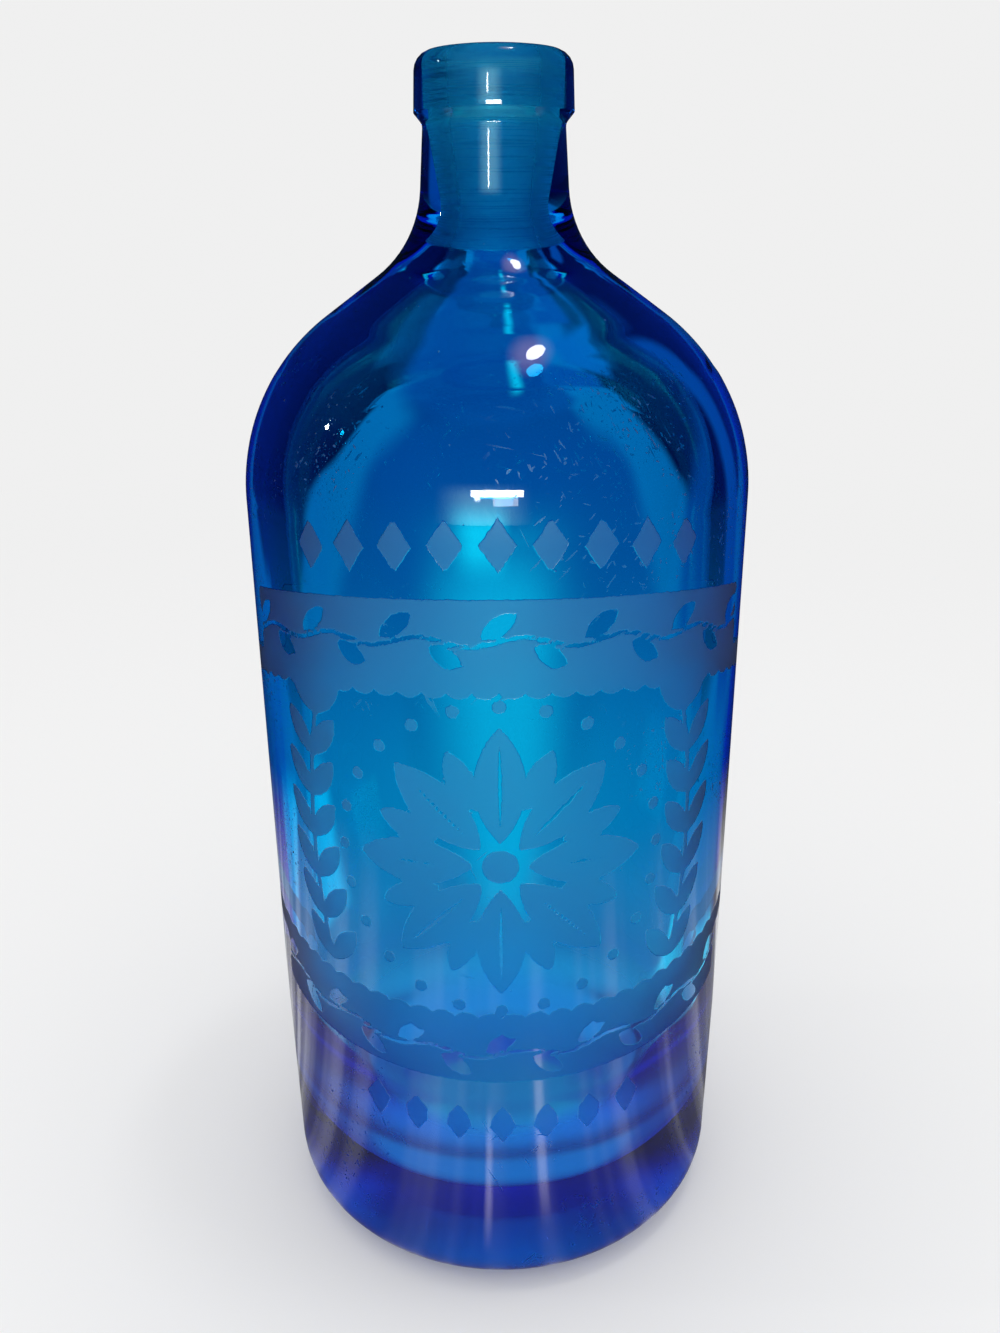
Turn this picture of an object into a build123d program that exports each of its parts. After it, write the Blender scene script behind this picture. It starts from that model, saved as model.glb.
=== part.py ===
from build123d import *

import math
import os

# Glass bottle of an old soda siphon: one heavy blown piece with a ground neck bore.
# Frame: +Z is the bottle's axis, z = 0 is the bearing ring it stands on. Millimetres.
# A diameter named for a corner is taken where its two straight runs would meet.

# Whole bottle
overall_height = 247.0
body_diameter = 102.0
wall_thickness = 7.5

# Foot, heel and the push-up under the base
foot_draw_in = 0.8
foot_taper_height = 55.0
foot_blend_radius = 900.0
heel_radius = 10.2
pushup_diameter = 66.0
pushup_slope_width = 15.0
pushup_height = 3.5
pushup_radius = 18.0
bearing_edge_radius = 1.5

# Shoulder and neck
shoulder_radius = 42.0
shoulder_rise = 25.4
cove_radius = 20.5
neck_foot_diameter = 29.6
neck_diameter = 26.8
neck_length = 22.8
under_collar_radius = 1.6

# Collar that the siphon head's split ring hooks under
collar_height = 10.2
collar_undercut = 1.9
collar_diameter = 30.0
collar_top_diameter = 29.2
collar_edge_radius = 0.5
lip_radius = 3.3

# Ground bore, open at the lip and narrowing to the throat
bore_diameter = 17.2
bore_length = 9.0
bore_edge_radius = 0.8
bore_end_radius = 3.0
throat_diameter = 11.4
throat_radius = 18.0

# Bowl at the foot of the cavity, where the wall thickens into the base
base_thickness = 14.0
floor_dish = 1.0
bowl_depth = 31.0
bowl_draw_in = 10.5
bowl_wall_radius = 90.0
bowl_floor_radius = 25.0

body_radius = body_diameter / 2
neck_foot_radius = neck_foot_diameter / 2
bore_radius = bore_diameter / 2
throat_corner_radius = throat_diameter / 2
cavity_radius = body_radius - wall_thickness
floor_edge_height = base_thickness + floor_dish

# Heights, counted down from the lip so that only the straight body grows with the bottle
collar_foot = overall_height - collar_height
neck_foot_height = collar_foot - neck_length
shoulder_height = neck_foot_height - shoulder_rise
bore_foot = overall_height - bore_length

# The cavity keeps the wall's thickness along the shoulder's slope
shoulder_lean = math.atan2(body_radius - neck_foot_radius, shoulder_rise)
cavity_shoulder_height = shoulder_height - wall_thickness * math.tan(shoulder_lean / 2)
throat_height = cavity_shoulder_height + (
    cavity_radius - throat_corner_radius
) / math.tan(shoulder_lean)

# Corners of the half section as (radius from the axis, height, rounding)
outside = [
    (0.0, pushup_height, 0.0),
    (pushup_diameter / 2 - pushup_slope_width, pushup_height, pushup_radius),
    (pushup_diameter / 2, 0.0, bearing_edge_radius),
    (body_radius - foot_draw_in, 0.0, heel_radius),
    (body_radius, foot_taper_height, foot_blend_radius),
    (body_radius, shoulder_height, shoulder_radius),
    (neck_foot_radius, neck_foot_height, cove_radius),
    (neck_diameter / 2, collar_foot - collar_undercut, under_collar_radius),
    (collar_diameter / 2, collar_foot, collar_edge_radius),
    (collar_top_diameter / 2, overall_height, lip_radius),
]
inside = [
    (bore_radius, overall_height, bore_edge_radius),
    (bore_radius, bore_foot, bore_end_radius),
    (throat_corner_radius, throat_height, throat_radius),
    (cavity_radius, cavity_shoulder_height, shoulder_radius - wall_thickness),
    (cavity_radius, floor_edge_height + bowl_depth, bowl_wall_radius),
    (cavity_radius - bowl_draw_in, floor_edge_height, bowl_floor_radius),
    (0.0, base_thickness, 0.0),
]


def rounded_run(corners):
    """Straight runs through the corners, each rounded by its own radius."""
    points = [(radius, height) for radius, height, rounding in corners]
    roundings = [rounding for radius, height, rounding in corners[1:-1]]
    return FilletPolyline(*points, radius=roundings)


# The glass: its half section turned once round the axis
with BuildPart() as glass_bottle:
    with BuildSketch(Plane.XZ):
        with BuildLine():
            glass = rounded_run(outside + inside)
            Line(glass @ 1, glass @ 0)
        make_face()
    revolve(axis=Axis.Z)
glass_bottle.part.label = "glass_bottle"

os.makedirs("parts", exist_ok=True)
export_step(glass_bottle.part, "parts/glass_bottle.step")
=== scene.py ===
import math

import bmesh
import bpy
from mathutils import Matrix, Vector, noise


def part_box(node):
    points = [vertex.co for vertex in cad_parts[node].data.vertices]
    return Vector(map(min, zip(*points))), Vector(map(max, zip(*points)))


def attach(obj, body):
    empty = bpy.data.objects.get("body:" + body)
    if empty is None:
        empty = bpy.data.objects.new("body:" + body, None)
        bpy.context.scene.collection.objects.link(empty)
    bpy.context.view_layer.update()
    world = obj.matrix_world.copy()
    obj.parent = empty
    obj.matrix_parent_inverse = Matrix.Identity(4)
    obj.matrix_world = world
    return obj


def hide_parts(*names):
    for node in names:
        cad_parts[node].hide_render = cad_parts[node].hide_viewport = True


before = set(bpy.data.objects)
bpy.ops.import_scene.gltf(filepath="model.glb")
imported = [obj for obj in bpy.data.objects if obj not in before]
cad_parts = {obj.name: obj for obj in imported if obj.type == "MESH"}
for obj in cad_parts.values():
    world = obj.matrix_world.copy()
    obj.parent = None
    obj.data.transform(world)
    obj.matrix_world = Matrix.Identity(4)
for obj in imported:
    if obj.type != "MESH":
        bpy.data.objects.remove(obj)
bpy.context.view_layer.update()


# The bottle: one heavy piece of blue glass, blown and turned in a mould, then fire polished.
# Its half section is drawn from straight runs and round corners and spun round the axis.
# The cavity ends in a thick-walled bowl, and a push-up under it leaves a bearing ring.

bottle_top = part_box("glass_bottle")[1]
BODY_RADIUS = bottle_top.x
HEIGHT = bottle_top.z
WALL = 0.0075

FOOT_RADIUS = BODY_RADIUS - 0.0008
FOOT_TAPER_HEIGHT = 0.055
HEEL_ROUND = 0.0102
FOOT_ROUND = 0.9
PUSHUP_RADIUS = 0.033
PUSHUP_SLOPE = 0.015
PUSHUP_HEIGHT = 0.0035
PUSHUP_ROUND = 0.018
BEARING_ROUND = 0.0015

SHOULDER_RISE = 0.0254
SHOULDER_ROUND = 0.042
NECK_FOOT_RADIUS = 0.0148
NECK_RADIUS = 0.0134
NECK_LENGTH = 0.0228
COVE_ROUND = 0.0205
COLLAR_RADIUS = 0.015
COLLAR_TOP_RADIUS = 0.0146
COLLAR_HEIGHT = 0.0102
COLLAR_UNDERCUT = 0.0019
COLLAR_FOOT_ROUND = 0.0016
COLLAR_EDGE_ROUND = 0.0005
LIP_ROUND = 0.0033

BORE_RADIUS = 0.0086
BORE_LENGTH = 0.009
BORE_EDGE_ROUND = 0.0008
BORE_END_ROUND = 0.003
THROAT_RADIUS = 0.0057
THROAT_ROUND = 0.018
FLOOR_HEIGHT = 0.014
FLOOR_DISH = 0.001
BOWL_DEPTH = 0.031
BOWL_DRAW_IN = 0.0105
BOWL_WALL_ROUND = 0.09
BOWL_FLOOR_ROUND = 0.025

FRONT_ARC = math.radians(130)
FRONT_STEPS = 150
REST_STEPS = 84
PATTERN_FOOT, PATTERN_TOP = 0.036, 0.176
PATTERN_RING_GAP = 0.0008
RING_GAP = 0.0028
ARC_GAP = 0.0016
FEWEST_ARC_STEPS = 5
MERGE_GAP = 0.00001

collar_foot = HEIGHT - COLLAR_HEIGHT
neck_foot = collar_foot - NECK_LENGTH
shoulder = neck_foot - SHOULDER_RISE
cavity_radius = BODY_RADIUS - WALL
mid_wall = cavity_radius + WALL / 2
floor_edge = FLOOR_HEIGHT + FLOOR_DISH
shoulder_lean = math.atan2(BODY_RADIUS - NECK_FOOT_RADIUS, SHOULDER_RISE)
cavity_shoulder = shoulder - WALL * math.tan(shoulder_lean / 2)
throat = cavity_shoulder + (cavity_radius - THROAT_RADIUS) / math.tan(shoulder_lean)

# Corners of the half section: radius, height and rounding
corners = [
    (0.0, PUSHUP_HEIGHT, 0.0),
    (PUSHUP_RADIUS - PUSHUP_SLOPE, PUSHUP_HEIGHT, PUSHUP_ROUND),
    (PUSHUP_RADIUS, 0.0, BEARING_ROUND),
    (FOOT_RADIUS, 0.0, HEEL_ROUND),
    (BODY_RADIUS, FOOT_TAPER_HEIGHT, FOOT_ROUND),
    (BODY_RADIUS, shoulder, SHOULDER_ROUND),
    (NECK_FOOT_RADIUS, neck_foot, COVE_ROUND),
    (NECK_RADIUS, collar_foot - COLLAR_UNDERCUT, COLLAR_FOOT_ROUND),
    (COLLAR_RADIUS, collar_foot, COLLAR_EDGE_ROUND),
    (COLLAR_TOP_RADIUS, HEIGHT, LIP_ROUND),
    (BORE_RADIUS, HEIGHT, BORE_EDGE_ROUND),
    (BORE_RADIUS, HEIGHT - BORE_LENGTH, BORE_END_ROUND),
    (THROAT_RADIUS, throat, THROAT_ROUND),
    (cavity_radius, cavity_shoulder, SHOULDER_ROUND - WALL),
    (cavity_radius, floor_edge + BOWL_DEPTH, BOWL_WALL_ROUND),
    (cavity_radius - BOWL_DRAW_IN, floor_edge, BOWL_FLOOR_ROUND),
    (0.0, FLOOR_HEIGHT, 0.0),
]


def run_to(section, tip, place):
    """Carry the half section on from its tip in a straight run."""
    grown = bmesh.ops.extrude_vert_indiv(section, verts=[tip])["verts"][0]
    bmesh.ops.translate(section, verts=[grown], vec=place - tip.co)
    return grown


def turn_corner(section, tip, corner, ahead, rounding):
    """Run up to a corner and spin the tip round it."""
    inwards = (corner - tip.co).normalized()
    onwards = (ahead - corner).normalized()
    turn = inwards.angle(onwards)
    tip = run_to(section, tip, corner - inwards * rounding * math.tan(turn / 2))
    towards_centre = (onwards - inwards * inwards.dot(onwards)).normalized()
    spun = bmesh.ops.spin(
        section, geom=[tip], cent=tip.co + towards_centre * rounding, axis=inwards.cross(onwards),
        angle=turn, steps=max(FEWEST_ARC_STEPS, math.ceil(rounding * turn / ARC_GAP)),
        use_duplicate=False,
    )
    return next(part for part in spun["geom_last"] if isinstance(part, bmesh.types.BMVert))


section = bmesh.new()
places = [Vector((radius, 0.0, height)) for radius, height, rounding in corners]
roundings = [rounding for radius, height, rounding in corners]
tip = section.verts.new(places[0])
for corner, ahead, rounding in zip(places[1:], places[2:], roundings[1:]):
    tip = turn_corner(section, tip, corner, ahead, rounding)
run_to(section, tip, places[-1])
for edge in list(section.edges):
    middle = (edge.verts[0].co + edge.verts[1].co) / 2
    in_pattern = middle.x > mid_wall and PATTERN_FOOT < middle.z < PATTERN_TOP
    cuts = math.ceil(edge.calc_length() / (PATTERN_RING_GAP if in_pattern else RING_GAP)) - 1
    if cuts > 0:
        bmesh.ops.subdivide_edges(section, edges=[edge], cuts=cuts)
bmesh.ops.rotate(
    section, verts=section.verts, cent=(0, 0, 0),
    matrix=Matrix.Rotation(-(math.pi + FRONT_ARC) / 2, 3, "Z"),
)
turning = section.verts[:] + section.edges[:]
for arc, steps in ((FRONT_ARC, FRONT_STEPS), (math.tau - FRONT_ARC, REST_STEPS)):
    turning = bmesh.ops.spin(
        section, geom=turning, cent=(0, 0, 0), axis=(0, 0, 1), angle=arc, steps=steps,
    )["geom_last"]
bmesh.ops.remove_doubles(section, verts=section.verts, dist=MERGE_GAP)
bmesh.ops.recalc_face_normals(section, faces=section.faces)
for face in section.faces:
    face.smooth = True

# The mould and the blowing leave the inner wall a little wavy, and fluted round the bowl
WAVES = 0.00028
WAVE_WIDTH = 0.017
WAVE_LENGTH = 0.055
FLUTES = 0.00035
FLUTE_PITCH = 0.28
FLUTE_STRETCH = 3.0
FLUTE_TOP = 0.06
CAVITY_SLACK = 0.0001
for vertex in section.verts:
    radius = vertex.co.xy.length
    if THROAT_RADIUS < radius < cavity_radius + CAVITY_SLACK and vertex.co.z > FLOOR_HEIGHT:
        place = Vector((vertex.co.x / WAVE_WIDTH, vertex.co.y / WAVE_WIDTH, vertex.co.z / WAVE_LENGTH))
        swell = WAVES * noise.noise(place)
        place = Vector((vertex.co.x, vertex.co.y, vertex.co.z / FLUTE_STRETCH))
        flutes = FLUTES * noise.noise(place / (radius * FLUTE_PITCH))
        swell += flutes * max(0.0, 1 - vertex.co.z / FLUTE_TOP)
        vertex.co.xy *= 1 + swell * min(1.0, radius / cavity_radius) / radius
bottle_mesh = bpy.data.meshes.new("glass_bottle_body")
section.to_mesh(bottle_mesh)
section.free()

# The front is etched through a stencil: two scalloped friezes with a vine left clear in them,
# a rosette between two laurel sprays, and rows of diamonds. Acid leaves the open shapes frosted.
# Stencil sizes are in millimetres, across and up the flat stencil before it is wrapped round.

STENCIL_REACH = 2.0
# Each frieze: its height, its arch, half its width and the side of its scallops
FRIEZES = ((150.5, -0.0018, 7.6, -1), (64.0, 0.0014, 6.8, 1))
FRIEZE_HALF_WIDTH = 59.0
VINE_PITCH = 9.2
VINE_LEAF = (3.9, 1.75)
VINE_LEAF_UP = 2.9
VINE_LEAF_TURN = 36.0
VINE_STEM = 0.42
VINE_SWING = 0.9
SCALLOP = 2.9
ROSETTE = Vector((0.0, 106.5))
PETALS = 8
LONG_PETAL = (11.5, 4.7)
LONG_PETAL_START = 5.0
SHORT_PETAL = (6.4, 2.6)
SHORT_PETAL_START = 12.5
RIB = (8.5, 0.35)
RIB_START = 8.0
BUD = 3.4
BEADS = 24
BEAD_RING = 32.0
BEAD = 1.25
SPRAY_FOOT, SPRAY_TOP, SPRAY_PAIRS = 78.0, 132.0, 7
SPRAY_ACROSS = 41.0
SPRAY_BEND = 0.0045
SPRAY_LEAF = (5.6, 2.3)
SPRAY_LEAF_SPREAD = 38.0
SPRAY_STEM = 0.55
DIAMONDS = 9
DIAMOND_STEP = 9.0
DIAMOND = (3.2, 4.6)
TOP_ROW, TOP_SAG = 167.5, 0.0020
LOW_DIAMONDS = 7
LOW_ROW, LOW_SAG = 46.5, -0.0020


def pointing(degrees):
    """A flat direction, turned from the right towards up."""
    return Vector((math.cos(math.radians(degrees)), math.sin(math.radians(degrees))))


def leaf(foot, degrees, size):
    """A pointed leaf that grows from its foot."""
    return foot + pointing(degrees) * size[0], degrees, size


def depth_in_leaf(away, degrees, size):
    """How far a point, given from the leaf's middle, is inside its two curved edges."""
    half_length, half_width = size
    grain = pointing(degrees)
    along, across = abs(away.dot(grain)), abs(away.cross(grain))
    curve = (half_length ** 2 + half_width ** 2) / (2 * half_width)
    if (along - half_length) * (curve - half_width) > across * half_length:
        return -math.hypot(along - half_length, across)
    return curve - math.hypot(along, across + curve - half_width)


def depth_in_diamond(away):
    """How far a point, given from the diamond's middle, is inside its four edges."""
    slant = DIAMOND[0] * DIAMOND[1] - abs(away.x) * DIAMOND[1] - abs(away.y) * DIAMOND[0]
    return slant / math.hypot(*DIAMOND)


def depth_in_frieze(point, height, arch, half_height, scallop_side):
    """A frosted band with a clear vine along its middle and scallops on one edge."""
    up = point.y - height - arch * point.x ** 2
    if abs(up) > half_height + SCALLOP + STENCIL_REACH:
        return -STENCIL_REACH
    turn = math.floor(point.x / VINE_PITCH + 0.5)
    across = point.x - turn * VINE_PITCH
    side = 1 if turn % 2 == 0 else -1
    stem = up - VINE_SWING * math.sin(math.pi * point.x / VINE_PITCH)
    vine = max(
        VINE_STEM - abs(stem),
        depth_in_leaf(Vector((across, up - side * VINE_LEAF_UP)), side * VINE_LEAF_TURN, VINE_LEAF),
    )
    lobe = math.floor(2 * point.x / VINE_PITCH) / 2 + 0.25
    scallop = SCALLOP - math.hypot(point.x - lobe * VINE_PITCH, up - scallop_side * half_height)
    band = min(half_height - abs(up), FRIEZE_HALF_WIDTH - abs(point.x), -vine)
    return max(band, min(scallop, scallop_side * up))


leaves = []
ribs = []
dots = [(ROSETTE, BUD)]
diamonds = []
for petal in range(PETALS):
    around = 90 + 360 * petal / PETALS
    halfway = around + 180 / PETALS
    leaves.append(leaf(ROSETTE + pointing(around) * LONG_PETAL_START, around, LONG_PETAL))
    ribs.append(leaf(ROSETTE + pointing(around) * RIB_START, around, RIB))
    leaves.append(leaf(ROSETTE + pointing(halfway) * SHORT_PETAL_START, halfway, SHORT_PETAL))
for bead in range(BEADS):
    dots.append((ROSETTE + pointing(360 * bead / BEADS) * BEAD_RING, BEAD))
for pair in range(SPRAY_PAIRS):
    height = SPRAY_FOOT + (SPRAY_TOP - SPRAY_FOOT) * pair / (SPRAY_PAIRS - 1)
    bend = SPRAY_BEND * (height - ROSETTE.y) ** 2
    for side in (-1, 1):
        foot = Vector((side * (SPRAY_ACROSS - bend), height))
        for spread in (-SPRAY_LEAF_SPREAD, SPRAY_LEAF_SPREAD):
            leaves.append(leaf(foot, 90 + spread, SPRAY_LEAF))
        if pair == SPRAY_PAIRS - 1:
            leaves.append(leaf(foot, 90, SPRAY_LEAF))
for count, row, sag in ((DIAMONDS, TOP_ROW, TOP_SAG), (LOW_DIAMONDS, LOW_ROW, LOW_SAG)):
    for place in range(count):
        across = (place - (count - 1) / 2) * DIAMOND_STEP
        diamonds.append(Vector((across, row - sag * across ** 2)))


def depth_in_stencil(point):
    """How far a point of the flat stencil is inside an open shape, or below zero outside."""
    depth = -STENCIL_REACH
    for frieze in FRIEZES:
        depth = max(depth, depth_in_frieze(point, *frieze))
    for centre, degrees, size in leaves:
        away = point - centre
        if away.length < size[0] + STENCIL_REACH:
            depth = max(depth, depth_in_leaf(away, degrees, size))
    for centre, radius in dots:
        depth = max(depth, radius - (point - centre).length)
    for centre in diamonds:
        depth = max(depth, depth_in_diamond(point - centre))
    if SPRAY_FOOT < point.y < SPRAY_TOP:
        bend = SPRAY_BEND * (point.y - ROSETTE.y) ** 2
        depth = max(depth, SPRAY_STEM - abs(abs(point.x) - SPRAY_ACROSS + bend))
    for centre, degrees, size in ribs:
        away = point - centre
        if away.length < size[0]:
            depth = min(depth, -depth_in_leaf(away, degrees, size))
    return depth


etched = bottle_mesh.attributes.new("etched", "FLOAT", "POINT")
for vertex, mark in zip(bottle_mesh.vertices, etched.data):
    x, y, z = vertex.co
    mark.value = -STENCIL_REACH
    if y < 0 and PATTERN_FOOT < z < PATTERN_TOP and math.hypot(x, y) > mid_wall:
        mark.value = depth_in_stencil(Vector((1000 * BODY_RADIUS * math.atan2(x, -y), 1000 * z)))


def set_up(name, data):
    """Put a new object in the scene, at the origin."""
    made = bpy.data.objects.new(name, data)
    bpy.context.scene.collection.objects.link(made)
    return made


bottle = set_up("glass_bottle_body", bottle_mesh)

# Blue glass, deep enough that red light is gone within a few millimetres. The ground neck is
# dull where the fitting's plug was lapped in, and years of crates have scratched the outside.

# A pair is where a mask starts and where it is full, and two more numbers are its levels there.
# Three numbers are a band's two edges and how soft they are.
GLASS_IOR = 1.52
ABSORBED = (0.05, 0.886, 0.976)
ABSORPTION = 420.0
CLEAR_TINT = (0.95, 0.98, 1.0)

FROST_TINT = (0.86, 0.97, 1.0)
FROST_ROUGHNESS = 0.62
FROST_EDGE = (-0.1, 0.1)
ETCH_DEPTH = 0.00004
RAGGED, RAGGED_GRAIN = 0.5, 900.0
WORN = (0.36, 0.60, 1.0, 0.75)
WORN_GRAIN, WORN_DETAIL = 26.0, 4.0

GROUND_SIDE = (BORE_RADIUS + 0.0007, BORE_RADIUS + 0.0003)
GROUND_FOOT = (neck_foot - 0.018, neck_foot - 0.008)
# A darker, bluer tint in bands along the fine grooves of the ground neck is painted shade in the
# grooves
GROOVE_SHADE_TINT = (0.50, 0.70, 0.80)
GROUND_ROUGHNESS = (0.3, 0.7, 0.45, 0.80)
GROOVE_GRAIN, GROOVE_STRETCH, GROOVE_DEPTH = 110.0, (0.10, 0.10, 10.0), 0.00005
FINE_GRAIN, FINE_STRETCH, FINE_DEPTH = 300.0, (0.15, 0.15, 12.0), 0.000025
GROOVE_SHADE_SHARE = (0.52, 0.62)

UNDERNEATH = (PUSHUP_HEIGHT + 0.003, PUSHUP_HEIGHT)
UNDERNEATH_SIDE = (cavity_radius + 0.001, cavity_radius - 0.001)
BEARING_RING = (PUSHUP_RADIUS - 0.003, cavity_radius, 0.0015)
# The bearing ring is tinted bluer: painted shade, for the shaded floor seen under the foot
RING_SHADE_TINT = (0.90, 0.90, 1.0)
SCUFFED_ROUGHNESS = 0.30

BOWL_SIDE = (cavity_radius + 0.0022, cavity_radius + 0.0008)
BOWL_FLOOR = (FLOOR_HEIGHT - 0.004, FLOOR_HEIGHT - 0.001)
HAZED = (0.060, 0.030, 0.0, 0.28)

OUTSIDE = (cavity_radius + 0.0015, cavity_radius + 0.002)
SHOULDER_TOP = (neck_foot - 0.039, neck_foot - 0.034)
SCRATCH_ROUGHNESS = 0.45
SCRATCH_TURNS, SCRATCH_LEAN = (0.45, -0.8, 1.35), 0.3
SCRATCH_GRAIN, SCRATCH_STRETCH, SCRATCH_DEPTH = 1300.0, (1.0, 1.0, 0.045), 0.000005
SCRATCH_SHARE = (0.70, 0.73)
SCRATCH_DRIFTS, SCRATCH_DRIFT_GRAIN = (0.50, 0.62), 40.0
SCRATCH_TOP = (neck_foot - 0.018, neck_foot - 0.026)
SPECK_GRAIN, SPECK_DEPTH = 520.0, 0.000025
SPECK_SHARE = (0.955, 0.97)
SPECK_SIDE = (0.16, 0.05)
SPECK_DRIFTS, SPECK_DRIFT_GRAIN = (0.40, 0.55), 30.0

RIPPLE_PITCH = 0.0028
RIPPLE_DEPTH = 0.000014
RIPPLE_FOOT = (neck_foot - 0.015, neck_foot - 0.013)
RIPPLE_TOP = (neck_foot - 0.0015, neck_foot - 0.0045)
RIPPLE_SIDE = (NECK_RADIUS - 0.0019, NECK_RADIUS - 0.0009)
RIPPLE_WIDTH = (0.009, 0.004)


def node(tree, kind, inputs=(), **settings):
    """Add a node, with its settings and the values or links of its inputs."""
    added = tree.nodes.new(kind)
    for name, value in settings.items():
        setattr(added, name, value)
    for socket, value in dict(inputs).items():
        if isinstance(value, bpy.types.NodeSocket):
            tree.links.new(value, added.inputs[socket])
        else:
            added.inputs[socket].default_value = value
    return added


def eased(tree, value, start, end, low=0.0, high=1.0):
    """A level that eases from low to high as a value goes from start to end."""
    return node(
        tree, "ShaderNodeMapRange",
        {"Value": value, "From Min": start, "From Max": end, "To Min": low, "To Max": high},
        interpolation_type="SMOOTHSTEP",
    ).outputs["Result"]


def reckon(tree, operation, first, second=0.0):
    """A value worked out from one or two others."""
    return node(tree, "ShaderNodeMath", {0: first, 1: second}, operation=operation).outputs["Value"]


def product(tree, first, *others):
    """Values or masks multiplied together."""
    for other in others:
        first = reckon(tree, "MULTIPLY", first, other)
    return first


def highest(tree, first, *others):
    """The highest of several values."""
    for other in others:
        first = reckon(tree, "MAXIMUM", first, other)
    return first


def between(tree, value, low, high, soft):
    """A mask that eases in over one edge and out over the other."""
    return product(
        tree, eased(tree, value, low - soft, low + soft), eased(tree, value, high + soft, high - soft)
    )


def vector_of(tree, operation, first, second=(0.0, 0.0, 0.0)):
    """A vector worked out from one or two others."""
    return node(
        tree, "ShaderNodeVectorMath", {0: first, 1: second}, operation=operation
    ).outputs["Vector"]


def length_of(tree, vector):
    """How long a vector is."""
    return node(tree, "ShaderNodeVectorMath", {0: vector}, operation="LENGTH").outputs["Value"]


def grain(tree, place, scale, stretch=(1.0, 1.0, 1.0), detail=2.0):
    """Noise of so many waves to the metre."""
    stretched = node(tree, "ShaderNodeMapping", {"Vector": place, "Scale": stretch}).outputs["Vector"]
    return node(
        tree, "ShaderNodeTexNoise", {"Vector": stretched, "Scale": scale, "Detail": detail}
    ).outputs["Fac"]


def blended(tree, share, first, second):
    """Two colours mixed: the first at a share of 0, and the second at 1."""
    mix = node(tree, "ShaderNodeMix", {0: share}, data_type="RGBA")
    for socket, value in ((6, first), (7, second)):
        if isinstance(value, bpy.types.NodeSocket):
            tree.links.new(value, mix.inputs[socket])
        else:
            mix.inputs[socket].default_value = (*value, 1.0)
    return mix.outputs[2]


glass = bpy.data.materials.new("blue_glass")
glass.use_nodes = True
tree = glass.node_tree
shader = tree.nodes["Principled BSDF"]
shader.inputs["IOR"].default_value = GLASS_IOR
shader.inputs["Transmission Weight"].default_value = 1.0
place = node(tree, "ShaderNodeTexCoord").outputs["Object"]
axes = node(tree, "ShaderNodeSeparateXYZ", {0: place}).outputs
height = axes["Z"]
radius = length_of(tree, vector_of(tree, "MULTIPLY", place, (1.0, 1.0, 0.0)))

stencil = node(tree, "ShaderNodeAttribute", attribute_name="etched").outputs["Fac"]
ragged = product(tree, reckon(tree, "SUBTRACT", grain(tree, place, RAGGED_GRAIN), 0.5), RAGGED)
frost = eased(tree, reckon(tree, "ADD", stencil, ragged), *FROST_EDGE)
worn = eased(tree, grain(tree, place, WORN_GRAIN, detail=WORN_DETAIL), *WORN)

in_neck = product(tree, eased(tree, radius, *GROUND_SIDE), eased(tree, height, *GROUND_FOOT))
grooves = grain(tree, place, GROOVE_GRAIN, GROOVE_STRETCH)
fine_grooves = grain(tree, place, FINE_GRAIN, FINE_STRETCH)
groove_shade = product(tree, in_neck, eased(tree, fine_grooves, *GROOVE_SHADE_SHARE))
ground = product(tree, in_neck, eased(tree, fine_grooves, *GROUND_ROUGHNESS))

underneath = eased(tree, height, *UNDERNEATH)
on_ring = product(tree, underneath, between(tree, radius, *BEARING_RING))
under = product(tree, underneath, eased(tree, radius, *UNDERNEATH_SIDE))
scuffed = product(tree, highest(tree, under, on_ring), SCUFFED_ROUGHNESS)
in_bowl = product(tree, eased(tree, radius, *BOWL_SIDE), eased(tree, height, *BOWL_FLOOR))
hazed = product(tree, in_bowl, eased(tree, height, *HAZED))

outside = highest(tree, eased(tree, radius, *OUTSIDE), eased(tree, height, *SHOULDER_TOP))
scratched = 0.0
for turn in SCRATCH_TURNS:
    turned = node(
        tree, "ShaderNodeMapping", {"Vector": place, "Rotation": (0.0, turn, SCRATCH_LEAN)}
    ).outputs["Vector"]
    dashes = grain(tree, turned, SCRATCH_GRAIN, SCRATCH_STRETCH, detail=1.0)
    scratched = highest(tree, scratched, eased(tree, dashes, *SCRATCH_SHARE))
scratch_drifts = eased(tree, grain(tree, place, SCRATCH_DRIFT_GRAIN), *SCRATCH_DRIFTS)
below_neck = eased(tree, height, *SCRATCH_TOP)
scratched = product(tree, scratched, scratch_drifts, outside, below_neck)
specks = node(tree, "ShaderNodeTexVoronoi", {"Vector": place, "Scale": SPECK_GRAIN}).outputs
chance = node(tree, "ShaderNodeSeparateColor", {0: specks["Color"]}).outputs["Red"]
speck_drifts = eased(tree, grain(tree, place, SPECK_DRIFT_GRAIN), *SPECK_DRIFTS)
specked = product(
    tree, eased(tree, specks["Distance"], *SPECK_SIDE), eased(tree, chance, *SPECK_SHARE),
    speck_drifts, outside,
)

ripples = reckon(tree, "SINE", product(tree, height, math.tau / RIPPLE_PITCH))
at_neck_foot = product(
    tree, eased(tree, height, *RIPPLE_FOOT), eased(tree, height, *RIPPLE_TOP),
    eased(tree, radius, *RIPPLE_SIDE),
    eased(tree, reckon(tree, "ABSOLUTE", axes["X"]), *RIPPLE_WIDTH),
)

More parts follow.
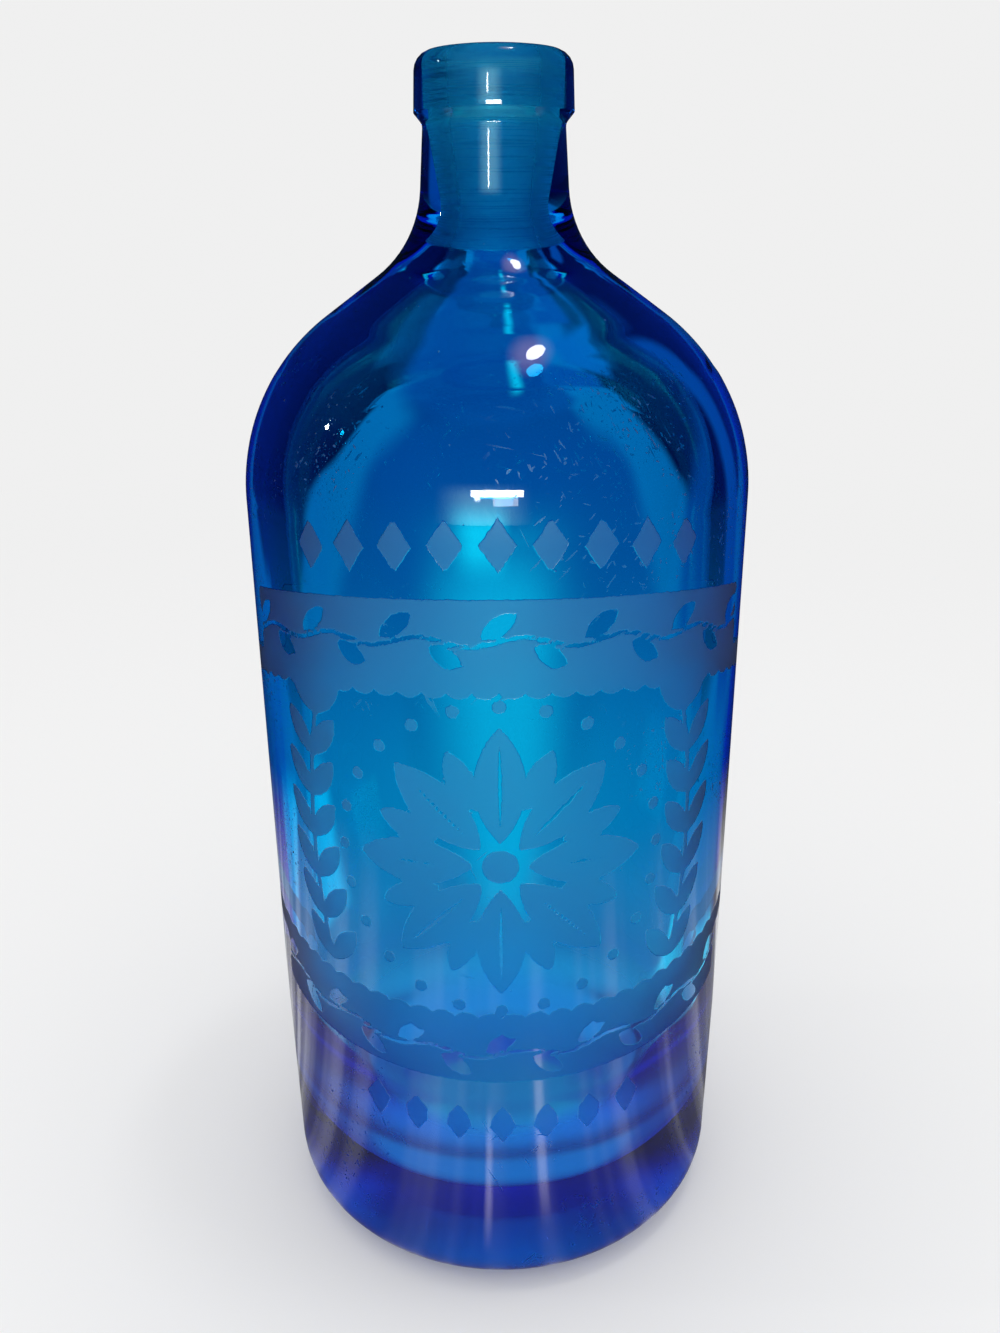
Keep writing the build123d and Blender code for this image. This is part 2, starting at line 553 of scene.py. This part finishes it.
tint = blended(tree, frost, CLEAR_TINT, FROST_TINT)
# Painted shade: the bearing ring is tinted bluer
tint = blended(tree, on_ring, tint, RING_SHADE_TINT)
# Painted shade: darker, bluer bands along the grooves of the ground neck
tint = blended(tree, groove_shade, tint, GROOVE_SHADE_TINT)
tree.links.new(tint, shader.inputs["Base Color"])
marks = product(tree, highest(tree, scratched, specked), SCRATCH_ROUGHNESS)
rough = highest(tree, product(tree, frost, worn, FROST_ROUGHNESS), ground, scuffed, hazed, marks)
tree.links.new(rough, shader.inputs["Roughness"])
relief = product(tree, frost, -ETCH_DEPTH)
for raised, depth in (
    (product(tree, grooves, in_neck), GROOVE_DEPTH),
    (product(tree, fine_grooves, in_neck), FINE_DEPTH),
    (product(tree, ripples, at_neck_foot), RIPPLE_DEPTH),
    (scratched, -SCRATCH_DEPTH),
    (specked, -SPECK_DEPTH),
):
    relief = reckon(tree, "ADD", relief, product(tree, raised, depth))
bump = node(tree, "ShaderNodeBump", {"Height": relief, "Distance": 1.0}).outputs["Normal"]
tree.links.new(bump, shader.inputs["Normal"])
absorption = node(
    tree, "ShaderNodeVolumeAbsorption", {"Color": (*ABSORBED, 1.0), "Density": ABSORPTION}
)
tree.links.new(absorption.outputs["Volume"], tree.nodes["Material Output"].inputs["Volume"])
bottle_mesh.materials.append(glass)

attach(bottle, "root")
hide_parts("glass_bottle")


# The surround that shows through the glass: a lit floor, a dim panel straight behind in a
# lighter frame, a dark room beside it, a lit ceiling, and patches for what else stands about.
# Bearings are degrees to the right of straight behind, and rises are degrees above level.

LIT_FLOOR = (0.55, 0.50, 0.60)
FLOOR_ENDS = (-34.0, -5.0)
LIT_CEILING = (1.0, 0.7, 1.4)
CEILING_STARTS = (50.0, 60.0)
PANEL = (0.06, 0.15, 0.38)
FRAME = (0.20, 0.36, 0.57)
DARK_ROOM = (0.001, 0.004, 0.045)
DIM_ROOM = (0.08, 0.16, 0.42)
SHADED_FLOOR = (0.08, 0.10, 0.15)
SIDE_GLOW = (0.3, 0.8, 1.20)
FLOOR_GLOW = (1.0, 1.3, 0.92)
# The panel's half width is in degrees, and it grows by so many degrees for each one of fall
PANEL_HALF_WIDTH, PANEL_SPREAD = 3.7, 1.27
# Colours across the panel, by how many half widths from its middle
VIEW_REACH = 4.0
VIEW = (
    (-2.0, DARK_ROOM), (-1.7, FRAME), (-1.15, FRAME), (-0.85, PANEL),
    (0.85, PANEL), (1.15, FRAME), (1.9, FRAME), (2.5, DARK_ROOM),
)
# Each patch: from and to in bearing, from and to in rise, how soft its edges are, and its colour
PATCHES = (
    ((108, 200), (-58, 0), 6, SHADED_FLOOR),
    ((-200, -108), (-58, 0), 6, SHADED_FLOOR),
    ((33, 50), (-20, 35), 4, DIM_ROOM),
    ((100, 195), (-20, 35), 15, DIM_ROOM),
    ((-195, -130), (-20, 35), 15, DIM_ROOM),
    ((-62, -17), (47, 60), 2.5, SIDE_GLOW),
    ((17, 62), (47, 60), 2.5, SIDE_GLOW),
    ((-7, 7), (12, 55), 2, (1.2, 1.4, 1.25)),
    ((-8, 4), (-3, 8), 1.2, (0.02, 0.11, 0.32)),
    ((4, 10), (-1.2, 3.2), 1, (0.03, 0.14, 0.40)),
    ((6, 13.2), (4.2, 9.2), 1, (0.08, 0.27, 0.55)),
    ((0.9, 1.5), (-2, 3.5), 0.5, (1.5, 1.5, 1.2)),
    ((-4, 0.5), (-13, -10.5), 1.5, (1.7, 1.8, 1.4)),
    ((-6, 7), (-60, -13), 5, (0.85, 0.95, 0.90)),
    ((-5, 4), (-20, -14), 4, (0.9, 1.0, 0.95)),
    ((-58, -35), (-44, -27), 2.5, (1.3, 1.4, 1.3)),
    ((49, 74), (-62, -41), 2, (1.8, 2.0, 1.5)),
    ((-55, 55), (-75, -61), 5, (1.0, 1.2, 1.0)),
    ((120, 200), (-79, -64), 5, FLOOR_GLOW),
    ((-200, -120), (-79, -64), 5, FLOOR_GLOW),
)
# Light turned back inside the glass has shades of its own: one after two turns, where it crossed
# the surface only on its way in and out, and one after three turns or more
TWO_TURNS, THREE_TURNS = (1.4, 1.6), (2.4, 2.6)
IN_AND_OUT = (2.6, 2.4)
TURNED_TWICE = (1.0, 3.0, 1.5)
TURNED_OFTEN = (0.9, 0.28, 0.85)


def new_group(name, inputs, outputs):
    """An empty node group with named sockets, and what its entry puts out."""
    made = bpy.data.node_groups.new(name, "ShaderNodeTree")
    for in_out, sockets in (("INPUT", inputs), ("OUTPUT", outputs)):
        for socket, kind in sockets.items():
            made.interface.new_socket(socket, in_out=in_out, socket_type="NodeSocket" + kind)
    return made, node(made, "NodeGroupInput").outputs


compass, entry = new_group("compass", {"Direction": "Vector"}, {"Bearing": "Float", "Rise": "Float"})
unit = vector_of(compass, "NORMALIZE", entry["Direction"])
parts = node(compass, "ShaderNodeSeparateXYZ", {0: unit}).outputs
node(compass, "NodeGroupOutput", {
    "Bearing": reckon(compass, "DEGREES", reckon(compass, "ARCTAN2", parts["X"], parts["Y"])),
    "Rise": reckon(compass, "DEGREES", reckon(compass, "ARCSINE", parts["Z"])),
})

surround, entry = new_group(
    "surround", {"Direction": "Vector", "Turns": "Float", "Crossings": "Float"}, {"Color": "Color"}
)
way = node(surround, "ShaderNodeGroup", {"Direction": entry["Direction"]}, node_tree=compass).outputs
bearing, rise = way["Bearing"], way["Rise"]
sunk = highest(surround, product(surround, rise, -PANEL_SPREAD), 0.0)
half_width = reckon(surround, "ADD", sunk, PANEL_HALF_WIDTH)
across = node(surround, "ShaderNodeMapRange", {
    "Value": reckon(surround, "DIVIDE", bearing, half_width),
    "From Min": -VIEW_REACH,
    "From Max": VIEW_REACH,
})
ramp = node(surround, "ShaderNodeValToRGB", {"Fac": across.outputs["Result"]})
ramp.color_ramp.interpolation = "EASE"
for end in ramp.color_ramp.elements:
    end.color = (*DARK_ROOM, 1.0)
for share, colour in VIEW:
    ramp.color_ramp.elements.new(share / VIEW_REACH / 2 + 0.5).color = (*colour, 1.0)
seen = blended(surround, eased(surround, rise, *FLOOR_ENDS), LIT_FLOOR, ramp.outputs["Color"])
for bearings, rises, soft, colour in PATCHES:
    patch = product(
        surround, between(surround, bearing, *bearings, soft), between(surround, rise, *rises, soft)
    )
    seen = blended(surround, patch, seen, colour)
seen = blended(surround, eased(surround, rise, *CEILING_STARTS), seen, LIT_CEILING)
turned_twice = product(
    surround, eased(surround, entry["Turns"], *TWO_TURNS),
    eased(surround, entry["Crossings"], *IN_AND_OUT),
)
seen = blended(surround, turned_twice, seen, TURNED_TWICE)
seen = blended(surround, eased(surround, entry["Turns"], *THREE_TURNS), seen, TURNED_OFTEN)
node(surround, "NodeGroupOutput", {"Color": seen})


def through_glass(tree, rays, direction):
    """What light that comes through the glass from a direction brings with it."""
    return node(tree, "ShaderNodeGroup", {
        "Direction": direction,
        "Turns": rays["Glossy Depth"],
        "Crossings": rays["Transmission Depth"],
    }, node_tree=surround).outputs["Color"]


def way_to_front(tree, direction):
    """Bearing to the right of straight in front, and rise, of what mirrors show."""
    flipped = vector_of(tree, "MULTIPLY", direction, (1.0, -1.0, 1.0))
    return node(tree, "ShaderNodeGroup", {"Direction": flipped}, node_tree=compass).outputs


# The studio floor: plain pale paint, which keeps the bottle's shadow and fades into the
# backdrop. Mirrors in the glass see it glow, with painted streaks and gleams, and dim beyond the foot
# of the bottle.

PALE = 0.87
FLOOR_SIZE = 8.0
FLOOR_DROP = 0.0002
FLOOR_ROUGHNESS = 0.9
FLOOR_FADE = (0.25, 0.9)
EYE_LEVEL = 0.12
MIRRORED_ROOM = (0.004, 0.01, 0.03)
MIRRORED_NEAR = (0.055, 0.095, 0.30, 0.80)
MIRRORED_FAR = (0.13, 0.26)
STREAKS = (0.42, 0.70, 0.4, 1.4)
STREAK_GRAIN, STREAK_DETAIL = 5.0, 1.5
GLEAM = (3.0, 2.8, 2.8)
# Each gleam: from and to in bearing, and from and to in distance, with how soft each is
GLEAMS = (((12.5, 15.5, 1.0), (0.075, 0.14, 0.01)), ((-6.0, -4.0, 1.0), (0.068, 0.10, 0.01)))

floor_mesh = bmesh.new()
bmesh.ops.create_grid(floor_mesh, x_segments=1, y_segments=1, size=FLOOR_SIZE / 2)
bmesh.ops.translate(floor_mesh, verts=floor_mesh.verts, vec=(0.0, 0.0, -FLOOR_DROP))
floor_data = bpy.data.meshes.new("studio_floor")
floor_mesh.to_mesh(floor_data)
floor_mesh.free()
floor = set_up("studio_floor", floor_data)

floor_paint = bpy.data.materials.new("studio_floor")
floor_paint.use_nodes = True
tree = floor_paint.node_tree
paint = tree.nodes["Principled BSDF"]
paint.inputs["Base Color"].default_value = (PALE, PALE, PALE, 1.0)
paint.inputs["Roughness"].default_value = FLOOR_ROUGHNESS
paint.inputs["Specular IOR Level"].default_value = 0.0
rays = node(tree, "ShaderNodeLightPath").outputs
place = node(tree, "ShaderNodeTexCoord").outputs["Object"]
distance = length_of(tree, place)
streaks = grain(tree, vector_of(tree, "NORMALIZE", place), STREAK_GRAIN, detail=STREAK_DETAIL)
mirrored = product(tree, eased(tree, streaks, *STREAKS), eased(tree, distance, *MIRRORED_NEAR))
mirrored = blended(tree, eased(tree, distance, *MIRRORED_FAR), mirrored, MIRRORED_ROOM)
in_front = way_to_front(tree, place)["Bearing"]
for bearings, reach in GLEAMS:
    gleam = product(tree, between(tree, in_front, *bearings), between(tree, distance, *reach))
    mirrored = blended(tree, gleam, mirrored, GLEAM)
from_eye = vector_of(tree, "SUBTRACT", place, (0.0, 0.0, EYE_LEVEL))
colour = blended(tree, rays["Is Glossy Ray"], (PALE, PALE, PALE), mirrored)
colour = blended(tree, rays["Is Transmission Ray"], colour, through_glass(tree, rays, from_eye))
glow = node(tree, "ShaderNodeEmission", {"Color": colour, "Strength": 1.0}).outputs["Emission"]
shown = highest(tree, eased(tree, distance, *FLOOR_FADE), rays["Is Glossy Ray"])
mixed = node(tree, "ShaderNodeMixShader", {0: shown, 1: paint.outputs["BSDF"], 2: glow})
tree.links.new(mixed.outputs["Shader"], tree.nodes["Material Output"].inputs["Surface"])
floor_data.materials.append(floor_paint)


# The backdrop and the lamps: plain, pale and soft. Mirrors in the glass show a dark room
# with a narrow upright window that stands in front, its glow, and a halo round the ceiling lamp.

SOFT_LIGHT = 0.95
# Each lamp: its name, place, height of its aim on the bottle's axis, size, watts and outline
LAMPS = (
    ("ceiling_lamp", (0.24, -0.05, 1.3), 0.1, (0.20, 0.10), 0.9, "ELLIPSE"),
    ("front_lamp", (0.0, -0.50, 0.283), 0.175, (0.19, 0.030), 0.50, "RECTANGLE"),
    ("glow_lamp", (0.030, -0.51, 0.262), 0.175, (0.09, 0.060), 0.12, "RECTANGLE"),
    ("left_lamp", (-1.2, 0.0, 0.75), 0.15, (0.05, 0.05), 0.4, "DISK"),
)
HALO = (2.4, 1.4, 1.1)
HALO_SIDE = (0.24, 0.05)
HALO_SQUEEZE = (1.7, 0.9, 1.0)
# Each light: from and to in bearing, from and to in rise, each with how soft it is, and its colour
WINDOW = (
    ((-18.0, 6.0, 10.0), (-3.0, 15.0, 4.0), (1.8, 4.0, 4.0)),
    ((-9.2, -7.8, 1.2), (9.8, 12.6, 1.0), (45.0, 50.0, 50.0)),
)

world = bpy.data.worlds.new("studio")
world.use_nodes = True
bpy.context.scene.world = world
tree = world.node_tree
rays = node(tree, "ShaderNodeLightPath").outputs
direction = node(tree, "ShaderNodeTexCoord").outputs["Generated"]
lamp_way = Vector(LAMPS[0][1]).normalized()
beside = vector_of(tree, "SUBTRACT", direction, lamp_way)
beside = length_of(tree, vector_of(tree, "MULTIPLY", beside, HALO_SQUEEZE))
mirrored = blended(tree, eased(tree, beside, *HALO_SIDE), MIRRORED_ROOM, HALO)
way = way_to_front(tree, direction)
for bearings, rises, light in WINDOW:
    pane = product(
        tree, between(tree, way["Bearing"], *bearings), between(tree, way["Rise"], *rises)
    )
    mirrored = blended(tree, pane, mirrored, light)
colour = blended(tree, rays["Is Glossy Ray"], (SOFT_LIGHT, SOFT_LIGHT, SOFT_LIGHT), mirrored)
colour = blended(tree, rays["Is Transmission Ray"], colour, through_glass(tree, rays, direction))
colour = blended(tree, rays["Is Camera Ray"], colour, (PALE, PALE, PALE))
tree.links.new(colour, tree.nodes["Background"].inputs["Color"])

for name, place, aim, size, power, outline in LAMPS:
    light = bpy.data.lights.new(name, "AREA")
    light.shape = outline
    light.size, light.size_y = size
    light.energy = power
    lamp = set_up(name, light)
    turned = (Vector((0.0, 0.0, aim)) - Vector(place)).to_track_quat("-Z", "Y")
    lamp.matrix_world = Matrix.Translation(place) @ turned.to_matrix().to_4x4()


# The camera: close in front, a little above the foot of the neck, looking down at the bottle
# through a wide lens. The lens's length is given in the picture's own pixels.

CAMERA_DISTANCE = 0.2363
CAMERA_HEIGHT = 0.2167
CAMERA_PITCH = math.radians(20.84)
CAMERA_ROLL = math.radians(-0.484)
CAMERA_YAW = math.radians(-0.064)
FOCAL_PIXELS = 1150
PICTURE_HEIGHT = 1333
SENSOR = 36.0
NEAREST = 0.01
BOUNCES, MIRROR_BOUNCES, GLASS_BOUNCES = 32, 16, 24

lens = bpy.data.cameras.new("camera")
lens.sensor_fit = "VERTICAL"
lens.sensor_height = SENSOR
lens.lens = FOCAL_PIXELS * SENSOR / PICTURE_HEIGHT
lens.clip_start = NEAREST
camera = set_up("camera", lens)
camera.matrix_world = (
    Matrix.Translation((0.0, -CAMERA_DISTANCE, CAMERA_HEIGHT))
    @ Matrix.Rotation(CAMERA_YAW, 4, "Z")
    @ Matrix.Rotation(math.pi / 2 - CAMERA_PITCH, 4, "X")
    @ Matrix.Rotation(CAMERA_ROLL, 4, "Z")
)
bpy.context.scene.camera = camera
bpy.context.scene.view_settings.view_transform = "Standard"
bpy.context.scene.cycles.max_bounces = BOUNCES
bpy.context.scene.cycles.glossy_bounces = MIRROR_BOUNCES
bpy.context.scene.cycles.transmission_bounces = GLASS_BOUNCES
